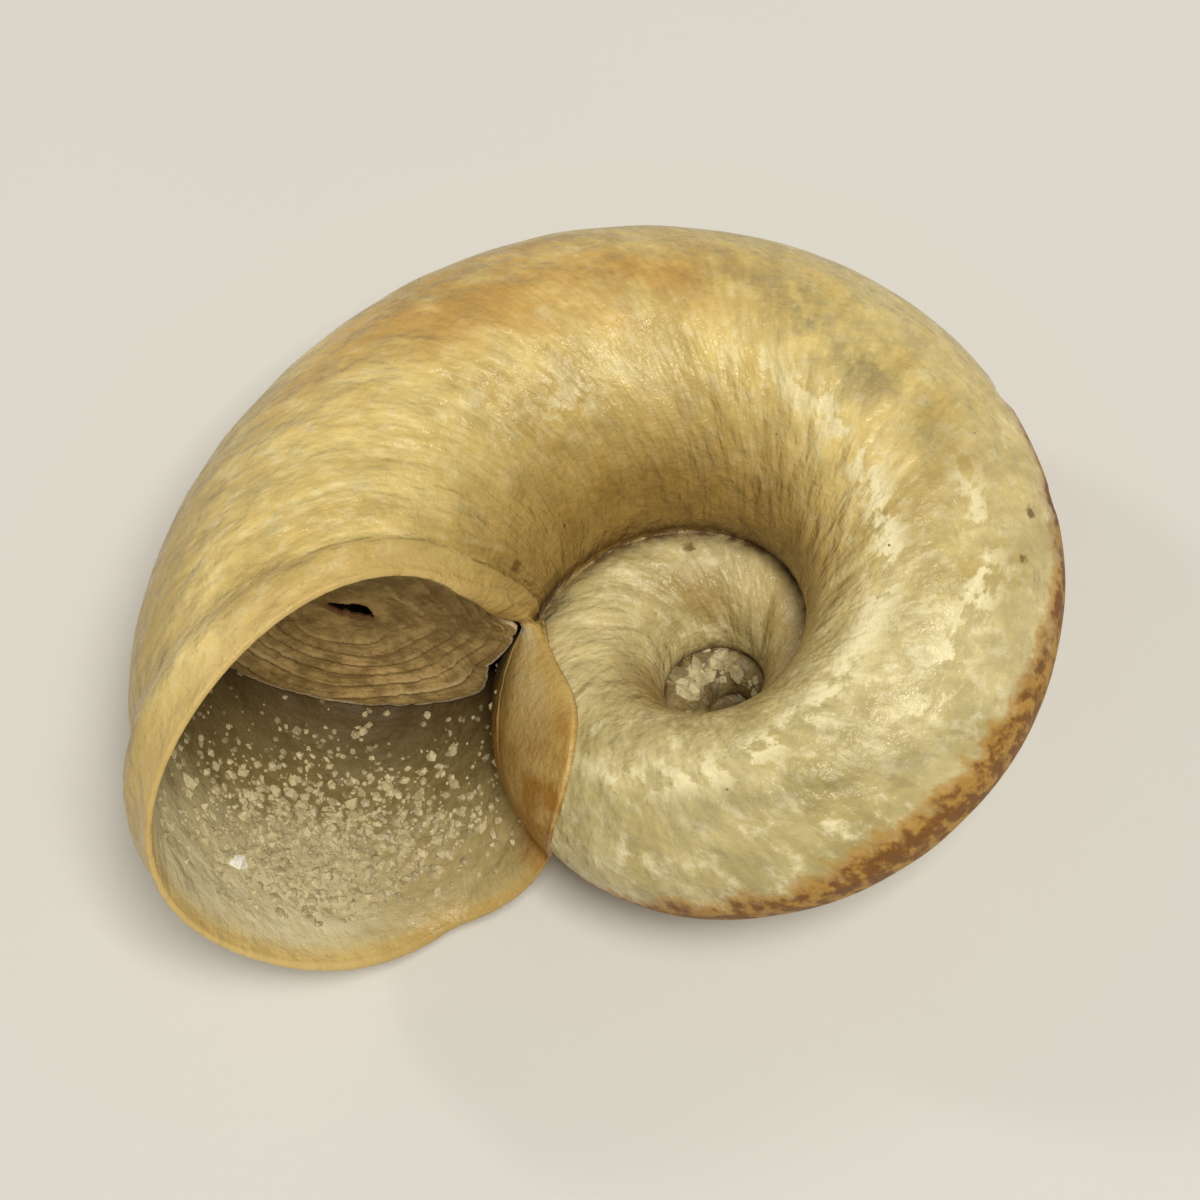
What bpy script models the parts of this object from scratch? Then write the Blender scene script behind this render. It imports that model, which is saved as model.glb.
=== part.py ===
# Land snail shell, widely umbilicate, with its operculum drawn a little way into the mouth.
# Metres, +Z up. The shell lies on its spire with the umbilicus facing up.

import functools
import math

import bmesh
import bpy
import numpy as np
from mathutils import Matrix, Vector
from mathutils.bvhtree import BVHTree
from mathutils.geometry import interpolate_bezier

MM = 0.001

# The tube is described in turns: 0 at the lip, -1 one whorl earlier, and so on to the apex.
TURNS = 4
STEPS = 32                      # rings in one turn
COIL = 8.42 * MM                # axis to the middle of the tube, at the lip
DEPTH = 8.11 * MM               # apex to the middle of the tube, along the axis
TUBE = 5.18 * MM                # radius of the tube
COIL_GROWTH = 0.928             # natural logarithm of the growth in one turn
DEPTH_GROWTH = 0.829
TUBE_GROWTH = 0.818
DEPTH_BEND = 0.024              # how that growth itself changes with the turns
TUBE_BEND = -0.013
EARLY_TURN = -2.0               # before this every length grows at one rate
EARLY_GROWTH = 0.83

# Close to the mouth the tube swings towards the spire and its section changes.
MOUTH_SPAN = 0.35               # turns over which that happens
MOUTH_RISE = -0.096             # share of the depth
MOUTH_SWELL = 0.018             # share of the tube radius
BODY_WAVES = (0.039, -0.060, 0.002, -0.024)     # cos 2a, sin 2a, cos 3a, sin 3a of the section
MOUTH_WAVES = (-0.070, -0.052, 0.016, 0.052)

# Each ring lies in a plane through the apex, turned and leaned from the axial plane.
PLANE_TURN = math.radians(-16.1)
PLANE_LEAN = math.radians(15.0)
LIP_DIRECTION = math.radians(218.6)

# Columns of points round a ring: the stretch pressed on the whorl before, then the free wall.
CONTACT_COLUMNS = 6
FREE_COLUMNS = 7
BAND_LIMITS = (-60.0, 150.0)    # degrees of the section that the next whorl may cover

# Shell wall, and the lip that ends it.
WALL = 0.36 * MM
LIP = 0.50 * MM                 # thickness a little inside the mouth
LIP_SPAN = 0.10                 # turns over which the lip thins to the wall
CREST = 0.26 * MM               # thickness at the very edge
CREST_SPAN = 0.03               # turns over which the edge thickens to the lip
CORNER = 0.40 * MM              # more beside the umbilical suture
CORNER_MIDDLE = math.radians(-178)
CORNER_REACH = (math.radians(40), math.radians(30))
CREST_BULGE = 0.5               # how far the edge is rounded, as a share of its thickness
CAVITY_TURNS = 2

# Towards the umbilical suture the lip stands back, and at the spire side it reaches ahead.
# Both start at an angle of the section and grow by so many turns a degree.
BACK_START = 151.0
BACK_SLANT = -0.00178
AHEAD_START = -84.0
AHEAD_SLANT = 0.00107
SLANT_EASE = 4.0                # degrees over which a slant sets in
SLANT_SPAN = 0.15               # turns over which it fades behind the lip

# The wall thins to a glaze on the whorl before. Ahead of the lip it spreads over that whorl as a
# callus. The callus edge is one cubic curve, from the spire side of the mouth to the umbilical
# side. Its points are turns ahead of the lip and an angle of that whorl's section.
GLAZE = 0.35                    # share of the wall
GLAZE_MIDDLE = math.radians(-139)
GLAZE_REACH = (math.radians(60), math.radians(60))
CALLUS_CURVE = ((0.041, -12.0), (0.111, 102.0), (0.090, 128.0), (-0.080, 81.0))
CALLUS_HEIGHT = 0.20 * MM
CALLUS_GAP = 0.08 * MM

# Rings over the lip: share of the way to the callus edge, share of the callus height,
# share of the bulge ahead of the lip plane and share of the lip thickness.
LIP_ROWS = (
    (0.5, 0.0, 0.3, 0.04),
    (1.0, 0.0, 0.8, 0.15),
    (1.0, 0.6, 1.0, 0.40),
    (0.9, 1.0, 1.0, 0.65),
    (0.4, 1.0, 0.6, 0.92),
)

# Operculum: a dished disc with low steps where one growth turn overlaps the next. The disc is
# then stretched in every direction to stand clear of the cavity wall by the same distance.
OPERCULUM_RADIUS = 4.10 * MM
OPERCULUM_CLEARANCE = 0.30 * MM
OPERCULUM_LIMIT = 5.2 * MM       # where a direction would miss the slanting lip
OPERCULUM_THICKNESS = 0.30 * MM
OPERCULUM_DISH = 0.60 * MM
OPERCULUM_STEPS = (1.40 * MM, 2.15 * MM, 2.90 * MM, 3.55 * MM)
STEP_HEIGHT = 0.07 * MM
STEP_RUN = 0.12 * MM
OPERCULUM_SEGMENTS = 48
OPERCULUM_TURN = -0.079
OPERCULUM_SHIFT = (-0.39 * MM, -0.10 * MM)
OPERCULUM_FACING = Vector((-0.153, 0.118, 0.981))       # in the axes of the tube there

# Bead that closes the first whorl round the axis.
BEAD_RADIUS = 0.26 * MM
BEAD_HEIGHT = 0.40 * MM

# Attitude at rest: the direction of the coil frame that faces up, then a turn about the vertical.
REST_UP = Vector((0.1316, -0.2187, 0.9669))
REST_YAW = math.radians(22.2)

RINGS = TURNS * STEPS + 1
COLUMNS = 2 * (CONTACT_COLUMNS + FREE_COLUMNS)


def mouth_share(turn):
    """Share of the change that the tube makes near its mouth."""
    near = min(max(1.0 + turn / MOUTH_SPAN, 0.0), 1.0)
    return near * near * (1.5 - 0.5 * near)


def grown(size, growth, bend, turn):
    """A length at a turn, from its size at the lip."""
    late = max(turn, EARLY_TURN)
    early = min(turn - EARLY_TURN, 0.0)
    return size * math.exp(growth * late + bend * late * late + EARLY_GROWTH * early)


def tube(turn):
    """Middle of the tube in its ring plane, its radius and the waves of its section."""
    share = mouth_share(turn)
    out = grown(COIL, COIL_GROWTH, 0.0, turn)
    along = grown(DEPTH, DEPTH_GROWTH, DEPTH_BEND, turn) * (1.0 + share * MOUTH_RISE)
    radius = grown(TUBE, TUBE_GROWTH, TUBE_BEND, turn) * (1.0 + share * MOUTH_SWELL)
    waves = [body + share * (mouth - body) for body, mouth in zip(BODY_WAVES, MOUTH_WAVES)]
    return np.array((out, along)), radius, waves


def section_radius(turn, angles):
    """Distance from the middle of the tube to its outside."""
    _, radius, (cos_two, sin_two, cos_three, sin_three) = tube(turn)
    two = cos_two * np.cos(2 * angles) + sin_two * np.sin(2 * angles)
    three = cos_three * np.cos(3 * angles) + sin_three * np.sin(3 * angles)
    return radius * (1.0 + two + three)


def section(turn, angles):
    """Points of the outside of the tube in its ring plane."""
    directions = np.stack((np.cos(angles), np.sin(angles)), axis=-1)
    return tube(turn)[0] + section_radius(turn, angles)[:, None] * directions


@functools.lru_cache(maxsize=None)
def covered_band(turn):
    """First and last angle of the section that the whorl one turn later covers."""
    turn = min(turn, -1.0)
    angles = np.radians(np.arange(*BAND_LIMITS, 0.25))
    offsets = section(turn, angles) - tube(turn + 1.0)[0]
    later = np.arctan2(offsets[:, 1], offsets[:, 0])
    depth = section_radius(turn + 1.0, later) - np.hypot(offsets[:, 0], offsets[:, 1])
    inside = np.nonzero(depth > 0.0)[0]
    first, last = inside[0], inside[-1]
    start = np.interp(0.0, depth[[first - 1, first]], angles[[first - 1, first]])
    end = np.interp(0.0, depth[[last + 1, last]], angles[[last + 1, last]])
    return start, end


@functools.lru_cache(maxsize=None)
def ring_outline(turn):
    """One ring in its plane: first along the whorl before, then round the free wall."""
    middle = tube(turn)[0]
    pressed = section(turn - 1.0, np.linspace(*covered_band(turn - 1.0), CONTACT_COLUMNS + 1))
    spire_side, axis_side = np.arctan2(*(pressed[[0, -1]] - middle).T[::-1])
    axis_side = axis_side % (2 * math.pi)
    if turn < 1.0 - TURNS:
        own = np.linspace(spire_side, axis_side - 2 * math.pi, CONTACT_COLUMNS + 1)
        pressed = section(turn, own)
    band_start, band_end = covered_band(turn)
    stretches = (
        np.linspace(axis_side, band_end, FREE_COLUMNS + 1),
        np.linspace(band_end, band_start, CONTACT_COLUMNS + 1)[1:],
        np.linspace(band_start, spire_side, FREE_COLUMNS + 1)[1:-1],
    )
    free = section(turn, np.concatenate(stretches)[1:])
    return np.concatenate((pressed, free))


@functools.lru_cache(maxsize=None)
def inward(turn):
    """Unit vectors in the ring plane that point into the tube, one for each column."""
    outline = ring_outline(turn)
    along = np.roll(outline, -1, axis=0) - np.roll(outline, 1, axis=0)
    along /= np.linalg.norm(along, axis=1)[:, None]
    return np.stack((along[:, 1], -along[:, 0]), axis=-1)


def plane_axes(turn):
    """The two axes of a ring plane, away from the coil axis and along it."""
    angle = LIP_DIRECTION + 2 * math.pi * turn
    outward = np.array((math.cos(angle), math.sin(angle), 0.0))
    forward = np.array((-math.sin(angle), math.cos(angle), 0.0))
    up = np.array((0.0, 0.0, 1.0))
    across = outward * math.cos(PLANE_TURN) + forward * math.sin(PLANE_TURN)
    along = up * math.cos(PLANE_LEAN) - forward * math.sin(PLANE_LEAN)
    return across, along


def lip_angles():
    """Angle of the section at every column of the lip."""
    outline = ring_outline(0.0) - tube(0.0)[0]
    return np.arctan2(outline[:, 1], outline[:, 0])


def column_share(middle, reach):
    """1 for columns at an angle of the section, falling smoothly to 0 on both sides."""
    away = (lip_angles() - middle + math.pi) % (2 * math.pi) - math.pi
    away = np.where(away < 0.0, -away / reach[0], away / reach[1])
    return np.cos(np.minimum(away, 1.0) * math.pi / 2) ** 2


def ring_points(turns, insets):
    """Points of one ring; every column has its own turn and its own depth under the outside."""
    points = []
    for column, (turn, inset) in enumerate(zip(turns, insets)):
        flat = ring_outline(turn)[column] + inset * inward(turn)[column]
        across, along = plane_axes(turn)
        points.append(Vector(flat[0] * across + flat[1] * along))
    return points


def past(limit, degrees):
    """How far angles are past a limit, with a soft start."""
    over = np.maximum(degrees - limit, 0.0)
    return over * over / (over + SLANT_EASE)


def slanted(turn):
    """Turn of every column of a ring, slanting towards both sutures near the mouth."""
    degrees = np.degrees(lip_angles())
    umbilical = slice(CONTACT_COLUMNS + 1, CONTACT_COLUMNS + FREE_COLUMNS)
    spire = slice(2 * CONTACT_COLUMNS + FREE_COLUMNS, COLUMNS)
    slant = np.zeros(COLUMNS)
    slant[umbilical] = BACK_SLANT * past(BACK_START, degrees[umbilical] % 360)
    slant[spire] = AHEAD_SLANT * past(-AHEAD_START, -degrees[spire])
    return turn + max(1.0 + turn / SLANT_SPAN, 0.0) * slant


def on_whorl_before(place, lift):
    """Point over the whorl before the mouth, at a pair of turns ahead and section angle."""
    turn = place[0] - 1.0
    angle = math.radians(place[1])
    flat = section(turn, np.array((angle,)))[0] + lift * np.array((math.cos(angle), math.sin(angle)))
    across, along = plane_axes(turn)
    return Vector(flat[0] * across + flat[1] * along)


def callus_points(reach, height):
    """Points over the whorl before, a share of the way from the lip to the callus edge."""
    knots = [Vector((ahead, angle / 1000, 0.0)) for ahead, angle in CALLUS_CURVE]
    edge = interpolate_bezier(*knots, CONTACT_COLUMNS + 1)
    start = np.degrees(np.linspace(*covered_band(-1.0), CONTACT_COLUMNS + 1))
    lift = CALLUS_GAP + height * CALLUS_HEIGHT
    points = []
    for knot, degrees in zip(edge, start):
        place = reach * np.array((knot.x, knot.y * 1000)) + (1.0 - reach) * np.array((0.0, degrees))
        points.append(on_whorl_before(place, lift))
    return points


def near_mouth(turn, span):
    """1 at the lip, falling to 0 a number of turns behind it."""
    return max(1.0 + turn / span, 0.0) ** 2


def shell_rings():
    """Rings from the apex to the lip, over the lip and back down the cavity."""
    cover = 1.0 - (1.0 - GLAZE) * column_share(GLAZE_MIDDLE, GLAZE_REACH)
    corner = CORNER * column_share(CORNER_MIDDLE, CORNER_REACH)
    crest = np.full(COLUMNS, CREST)
    crest[:CONTACT_COLUMNS + 1] = WALL * GLAZE
    rings = []
    for step in range(RINGS):
        rings.append(ring_points(slanted(step / STEPS - TURNS), np.zeros(COLUMNS)))
    ahead = CREST_BULGE * (crest + corner) / (2 * math.pi * (COIL + TUBE))
    for reach, height, bulge, depth in LIP_ROWS:
        own = ring_points(slanted(0.0) + bulge * ahead, depth * (crest + corner))
        rings.append(callus_points(reach, height) + own[CONTACT_COLUMNS + 1:])
    for step in range(CAVITY_TURNS * STEPS + 1):
        turn = -step / STEPS
        wall = WALL * math.sqrt(tube(turn)[1] / TUBE)
        thick = (wall + (LIP - WALL) * near_mouth(turn, LIP_SPAN)) * cover
        thick += (crest - thick) * near_mouth(turn, CREST_SPAN)
        rings.append(ring_points(slanted(turn), thick + corner * near_mouth(turn, LIP_SPAN)))
    return rings


def extrude_ring(bm, ring, places):
    """Extrude a closed ring of vertices and put the new ones at their places."""
    edges = [bm.edges.get((ring[i - 1], ring[i])) for i in range(len(ring))]
    made = bmesh.ops.extrude_edge_only(bm, edges=edges)["geom"]
    fresh = {item for item in made if isinstance(item, bmesh.types.BMVert)}
    following = []
    for vertex, place in zip(ring, places):
        partner = next(e.other_vert(vertex) for e in vertex.link_edges if e.other_vert(vertex) in fresh)
        partner.co = place
        following.append(partner)
    return following


def pressed_faces(bm, rings):
    """Both layers of the wall where a whorl lies on the one before."""
    faces = []
    band = CONTACT_COLUMNS + FREE_COLUMNS
    for row in range(RINGS - 1):
        columns = []
        if row >= STEPS:
            columns += range(CONTACT_COLUMNS)
        if row < RINGS - 1 - STEPS:
            columns += range(band, band + CONTACT_COLUMNS)
        for column in columns:
            here, ahead = rings[row], rings[row + 1]
            corners = (here[column], here[column + 1], ahead[column + 1], ahead[column])
            faces.append(bm.faces.get(corners))
    return faces


def resting(points):
    """Matrix that lays the coil at rest, with the middle of its base at the origin."""
    upright = REST_UP.rotation_difference(Vector((0.0, 0.0, 1.0))).to_matrix().to_4x4()
    turned = Matrix.Rotation(REST_YAW, 4, "Z") @ upright
    places = np.array([turned @ point for point in points])
    low, high = places.min(axis=0), places.max(axis=0)
    base = Vector(((low[0] + high[0]) / 2, (low[1] + high[1]) / 2, low[2]))
    return Matrix.Translation(-base) @ turned


def tube_frame(turn):
    """Middle of the tube and, as matrix columns, two axes across it and the way it grows."""
    middles = []
    for near in (turn - 0.005, turn, turn + 0.005):
        flat = tube(near)[0]
        across, along = plane_axes(near)
        middles.append(Vector(flat[0] * across + flat[1] * along))
    growing = (middles[2] - middles[0]).normalized()
    outward = Vector(plane_axes(turn)[0])
    outward = (outward - growing * outward.dot(growing)).normalized()
    return middles[1], Matrix((outward, growing.cross(outward), growing)).transposed()


def make_shell():
    bm = bmesh.new()
    apex = bmesh.ops.create_circle(bm, cap_ends=True, segments=COLUMNS, radius=TUBE)["verts"]
    places = shell_rings()
    for vertex, place in zip(apex, places[0]):
        vertex.co = place
    rings = [apex]
    for ring in places[1:]:
        rings.append(extrude_ring(bm, rings[-1], ring))
    bmesh.ops.contextual_create(bm, geom=rings[-1])
    bmesh.ops.delete(bm, geom=pressed_faces(bm, rings), context="FACES")
    bmesh.ops.remove_doubles(bm, verts=bm.verts, dist=0.001 * MM)
    bmesh.ops.recalc_face_normals(bm, faces=bm.faces)
    return bm


def close_apex(shell, place):
    """Join a bead to the first whorl, so that the umbilicus doesn't run through the apex."""
    bm = bmesh.new()
    bmesh.ops.create_uvsphere(bm, u_segments=16, v_segments=10, radius=BEAD_RADIUS)
    bmesh.ops.translate(bm, verts=bm.verts, vec=(0.0, 0.0, BEAD_HEIGHT))
    bmesh.ops.transform(bm, matrix=place, verts=bm.verts)
    bead = add_object("bead", bm, shell.data.materials[0])
    bead.hide_render = True
    bead.display_type = "WIRE"
    joined = shell.modifiers.new("bead", "BOOLEAN")
    joined.operation = "UNION"
    joined.object = bead


def dish_height(radius):
    """Height of the operculum's front over its rim plane."""
    return OPERCULUM_DISH * ((radius / OPERCULUM_RADIUS) ** 2 - 1.0)


def stretch_to_wall(bm, shell, place):
    """Stretch the disc towards the cavity wall, and stop at the clearance."""
    shell.verts.index_update()
    places = [vertex.co / MM for vertex in shell.verts]
    wall = BVHTree.FromPolygons(places, [[v.index for v in face.verts] for face in shell.faces])
    middle = place.translation / MM
    axes = place.to_3x3()
    for vertex in bm.verts:
        across = Vector((vertex.co.x, vertex.co.y, 0.0))
        if across.length < 0.001 * MM:
            continue
        reaches = []
        for turned in (-4, 0, 4):
            direction = Matrix.Rotation(math.radians(turned), 3, "Z") @ across.normalized()
            reaches.append((wall.ray_cast(middle, axes @ direction)[3] or math.inf) * MM)
        reach = min(*reaches, OPERCULUM_LIMIT)
        across *= (reach - OPERCULUM_CLEARANCE) / OPERCULUM_RADIUS
        vertex.co.x, vertex.co.y = across.x, across.y


def make_operculum(shell):
    """A turned profile: stepped front, rounded rim and plain back."""
    front = [(0.0, dish_height(0.0))]
    for radius in OPERCULUM_STEPS:
        front.append((radius, dish_height(radius)))
        front.append((radius + STEP_RUN, dish_height(radius + STEP_RUN) + STEP_HEIGHT))
    front.append((OPERCULUM_RADIUS - 0.3 * OPERCULUM_THICKNESS, 0.0))
    rim = [(OPERCULUM_RADIUS, -0.4 * OPERCULUM_THICKNESS)]
    back = []
    for share in (0.93, 0.66, 0.33, 0.0):
        radius = share * OPERCULUM_RADIUS
        back.append((radius, dish_height(radius) - OPERCULUM_THICKNESS))
    bm = bmesh.new()
    profile = [bm.verts.new((radius, 0.0, height)) for radius, height in front + rim + back]
    edges = [bm.edges.new(pair) for pair in zip(profile, profile[1:])]
    bmesh.ops.spin(
        bm, geom=profile + edges, cent=(0.0, 0.0, 0.0), axis=(0.0, 0.0, 1.0),
        angle=2 * math.pi, steps=OPERCULUM_SEGMENTS, use_merge=True,
    )
    bmesh.ops.remove_doubles(bm, verts=bm.verts, dist=0.001 * MM)
    bmesh.ops.recalc_face_normals(bm, faces=bm.faces)
    middle, axes = tube_frame(OPERCULUM_TURN)
    middle += axes @ Vector((*OPERCULUM_SHIFT, 0.0))
    lean = Vector((0.0, 0.0, 1.0)).rotation_difference(OPERCULUM_FACING).to_matrix()
    place = Matrix.Translation(middle) @ (axes @ lean).to_4x4()
    stretch_to_wall(bm, shell, place)
    bmesh.ops.transform(bm, matrix=place, verts=bm.verts)
    return bm


def add_object(name, bm, material):
    mesh = bpy.data.meshes.new(name)
    bm.to_mesh(mesh)
    bm.free()
    mesh.materials.append(material)
    mesh.shade_smooth()
    mesh.set_sharp_from_angle(angle=math.radians(50))
    item = bpy.data.objects.new(name, mesh)
    bpy.context.scene.collection.objects.link(item)
    return item


def make_material(name, colour, roughness):
    material = bpy.data.materials.new(name)
    material.use_nodes = True
    surface = material.node_tree.nodes["Principled BSDF"]
    surface.inputs["Base Color"].default_value = (*colour, 1.0)
    surface.inputs["Roughness"].default_value = roughness
    surface.inputs["Metallic"].default_value = 0.0
    return material


def build():
    for item in list(bpy.data.objects):
        bpy.data.objects.remove(item, do_unlink=True)
    shell = make_shell()
    operculum = make_operculum(shell)
    place = resting([vertex.co for vertex in shell.verts])
    for piece in (shell, operculum):
        bmesh.ops.transform(piece, matrix=place, verts=piece.verts)
    shell_object = add_object("shell", shell, make_material("shell", (0.58, 0.47, 0.27), 0.45))
    close_apex(shell_object, place)
    add_object("operculum", operculum, make_material("operculum", (0.23, 0.17, 0.08), 0.6))


build()
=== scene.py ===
import math
import random

import bmesh
import bpy
import numpy as np
from mathutils import Matrix, Vector, noise
from mathutils.bvhtree import BVHTree
from mathutils.geometry import interpolate_bezier


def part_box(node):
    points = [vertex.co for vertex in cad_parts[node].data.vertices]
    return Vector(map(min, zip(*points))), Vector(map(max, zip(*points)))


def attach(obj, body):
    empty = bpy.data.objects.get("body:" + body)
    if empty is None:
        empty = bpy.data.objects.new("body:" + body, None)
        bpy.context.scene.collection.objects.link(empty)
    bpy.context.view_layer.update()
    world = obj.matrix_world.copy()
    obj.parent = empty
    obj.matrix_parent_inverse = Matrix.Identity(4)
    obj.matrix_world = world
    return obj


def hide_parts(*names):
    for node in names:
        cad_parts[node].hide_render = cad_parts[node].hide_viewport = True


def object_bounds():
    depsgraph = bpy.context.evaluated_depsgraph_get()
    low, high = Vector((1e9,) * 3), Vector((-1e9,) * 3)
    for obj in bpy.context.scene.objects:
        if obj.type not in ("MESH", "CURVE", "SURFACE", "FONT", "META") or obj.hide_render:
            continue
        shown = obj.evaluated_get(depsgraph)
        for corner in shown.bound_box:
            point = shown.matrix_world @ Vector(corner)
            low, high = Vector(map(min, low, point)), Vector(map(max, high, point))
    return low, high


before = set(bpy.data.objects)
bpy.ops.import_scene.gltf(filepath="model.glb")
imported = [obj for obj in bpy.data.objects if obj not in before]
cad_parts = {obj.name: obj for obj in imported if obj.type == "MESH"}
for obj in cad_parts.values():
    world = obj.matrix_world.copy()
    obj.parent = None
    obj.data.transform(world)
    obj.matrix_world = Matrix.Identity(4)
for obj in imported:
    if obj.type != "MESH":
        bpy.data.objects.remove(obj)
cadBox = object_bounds()
mm = 0.001
print("frame loaded")

# The coil, in millimetres and turns. Turn 0 is the lip and -1 one whorl earlier.
coil = {
    "turns": 4,
    "radius": 8.42,  # coil axis to the middle of the tube, at the lip
    "depth": 8.11,  # apex to the middle of the tube, along the axis
    "tube": 5.18,  # radius of the tube
    "radiusGrowth": (0.928, 0),  # logarithm of the growth in a turn, and how that changes
    "depthGrowth": (0.829, 0.024),
    "tubeGrowth": (0.818, -0.013),
    "earlyTurn": -2,
    "earlyGrowth": 0.83,
    "mouthSpan": 0.35,  # turns over which the tube changes towards its mouth
    "mouthRise": -0.096,
    "mouthSwell": 0.018,
    "bodyWaves": (0.039, -0.06, 0.002, -0.024),
    "mouthWaves": (-0.07, -0.052, 0.016, 0.052),
    "planeTurn": math.radians(-16.1),
    "planeLean": math.radians(15),
    "lipDirection": math.radians(218.6),
    "restUp": (0.1316, -0.2187, 0.9669),
    "restYaw": math.radians(22.2),
}

# How finely the shell is meshed. Columns run round the tube: the stretch on the whorl
# before, the umbilical side, the band that the next whorl covers, and the spire side.
weave = {
    "steps": 216,  # rings in a turn
    "contact": 12,
    "free": 30,
    "lipRows": 17,
    "cavityTurns": 2,
    "fineCavity": 0.3,  # turns of cavity with every ring, before it thins out
    "cavityStride": 3,
    "bandSearch": (-60, 150, 0.25),  # degrees tried for the covered band, and the step
    "bandLead": 1.2,  # turns tabled before the apex
    "bandSamples": 400,
}
contact = weave["contact"]  # first column of the umbilical side,
bandColumn = contact + weave["free"]  # of the covered band
spireColumn = bandColumn + contact  # and of the spire side
columns = 2 * bandColumn


# the coil's own arithmetic works on whole arrays of turns and columns

def mouthShare(turn):
    near = np.clip(1 + turn / coil["mouthSpan"], 0, 1)
    return near * near * (1.5 - 0.5 * near)


def grown(size, growth, turn):
    late = np.maximum(turn, coil["earlyTurn"])
    early = np.minimum(turn - coil["earlyTurn"], 0)
    return size * np.exp(growth[0] * late + growth[1] * late ** 2 + coil["earlyGrowth"] * early)


def tubeMiddle(turn):
    out = grown(coil["radius"], coil["radiusGrowth"], turn)
    along = grown(coil["depth"], coil["depthGrowth"], turn)
    return np.stack((out, along * (1 + mouthShare(turn) * coil["mouthRise"])), axis=-1)


def tubeRadius(turn):
    return grown(coil["tube"], coil["tubeGrowth"], turn) * (1 + mouthShare(turn) * coil["mouthSwell"])


def sectionRadius(turn, angle):
    share = mouthShare(turn)
    waves = [b + share * (m - b) for b, m in zip(coil["bodyWaves"], coil["mouthWaves"])]
    two = waves[0] * np.cos(2 * angle) + waves[1] * np.sin(2 * angle)
    three = waves[2] * np.cos(3 * angle) + waves[3] * np.sin(3 * angle)
    return tubeRadius(turn) * (1 + two + three)


def section(turn, angle, lift=0):
    reach = sectionRadius(turn, angle) + lift
    return tubeMiddle(turn) + np.stack((reach * np.cos(angle), reach * np.sin(angle)), axis=-1)


def inSpace(turn, flat):
    # every ring lies in a plane through the apex, so rings a turn apart share their plane
    angle = coil["lipDirection"] + 2 * math.pi * turn
    outward = np.stack((np.cos(angle), np.sin(angle), 0 * angle), axis=-1)
    forward = np.stack((-np.sin(angle), np.cos(angle), 0 * angle), axis=-1)
    across = outward * math.cos(coil["planeTurn"]) + forward * math.sin(coil["planeTurn"])
    up = np.array((0, 0, math.cos(coil["planeLean"])))
    along = up - forward * math.sin(coil["planeLean"])
    return flat[..., :1] * across + flat[..., 1:] * along


def coveredBand(turn):
    # first and last angle of the section that the whorl one turn later covers
    angles = np.radians(np.arange(*weave["bandSearch"]))
    offsets = section(turn, angles) - tubeMiddle(turn + 1)
    later = np.arctan2(offsets[:, 1], offsets[:, 0])
    depth = sectionRadius(turn + 1, later) - np.hypot(offsets[:, 0], offsets[:, 1])
    inside = np.nonzero(depth > 0)[0]
    edges = [inside[0] - 1, inside[0]], [inside[-1] + 1, inside[-1]]
    return [np.interp(0, depth[edge], angles[edge]) for edge in edges]


bandTurns = np.linspace(-coil["turns"] - weave["bandLead"], -1, weave["bandSamples"])
bandTable = np.array([coveredBand(turn) for turn in bandTurns])


def bandAngles(turn):
    turn = np.minimum(turn, -1)
    return [np.interp(turn, bandTurns, bandTable[:, side]) for side in (0, 1)]


def sutureAngles(turn):
    # where the whorl leaves the one before, as angles of its own section
    found = []
    for angle in bandAngles(turn - 1):
        offset = section(turn - 1, angle) - tubeMiddle(turn)
        found.append(np.arctan2(offset[..., 1], offset[..., 0]))
    return found[0], found[1] % (2 * math.pi)


def between(start, end, share):
    return start + share * (end - start)


def ringAngle(turn, column):
    # angle of the section at a column, on the whorl's own wall
    free = weave["free"]
    spireSide, axisSide = sutureAngles(turn)
    bandStart, bandEnd = bandAngles(turn)
    stretches = (
        between(spireSide, axisSide - 2 * math.pi, column / contact),
        between(axisSide, bandEnd, (column - contact) / free),
        between(bandEnd, bandStart, (column - bandColumn) / contact),
        between(bandStart, spireSide, (column - spireColumn) / free),
    )
    limits = (column <= contact, column <= bandColumn, column <= spireColumn)
    return np.select(limits, stretches[:3], stretches[3])


def ringFlat(turn, column):
    # one ring in its plane: first along the whorl before, then round the free wall
    column = column % columns
    own = section(turn, ringAngle(turn, column))
    bandStart, bandEnd = bandAngles(turn - 1)
    pressed = section(turn - 1, between(bandStart, bandEnd, column / contact))
    onWhorl = (column <= contact) & (turn >= 1 - coil["turns"])
    return np.where(onWhorl[..., None], pressed, own)


def ringInward(turn, column):
    along = ringFlat(turn, column + 1) - ringFlat(turn, column - 1)
    along /= np.linalg.norm(along, axis=-1, keepdims=True)
    return np.stack((along[..., 1], -along[..., 0]), axis=-1)


def wallPoint(turn, column, inset):
    # a point of the shell, a depth under its outside
    return inSpace(turn, ringFlat(turn, column) + inset[..., None] * ringInward(turn, column))


def angleShare(middle, reach, angle):
    # 1 at an angle, falling smoothly to 0 on both sides
    away = (angle - middle + math.pi) % (2 * math.pi) - math.pi
    away = np.where(away < 0, -away / reach[0], away / reach[1])
    return np.cos(np.minimum(away, 1) * math.pi / 2) ** 2


def smooth(low, high, value):
    share = np.clip((value - low) / (high - low), 0, 1)
    return share * share * (3 - 2 * share)


def throughKeys(keys, places):
    # smooth curve through rows of values
    keys = np.array(keys, float)
    padded = np.vstack((2 * keys[0] - keys[1], keys, 2 * keys[-1] - keys[-2]))
    index = np.minimum(places.astype(int), len(keys) - 2)
    share = (places - index)[:, None]
    a, b, c, d = (padded[index + k] for k in range(4))
    cubic = 3 * (b - c) + d - a
    return b + share / 2 * (c - a + share * (2 * a - 5 * b + 4 * c - d + share * cubic))


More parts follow.
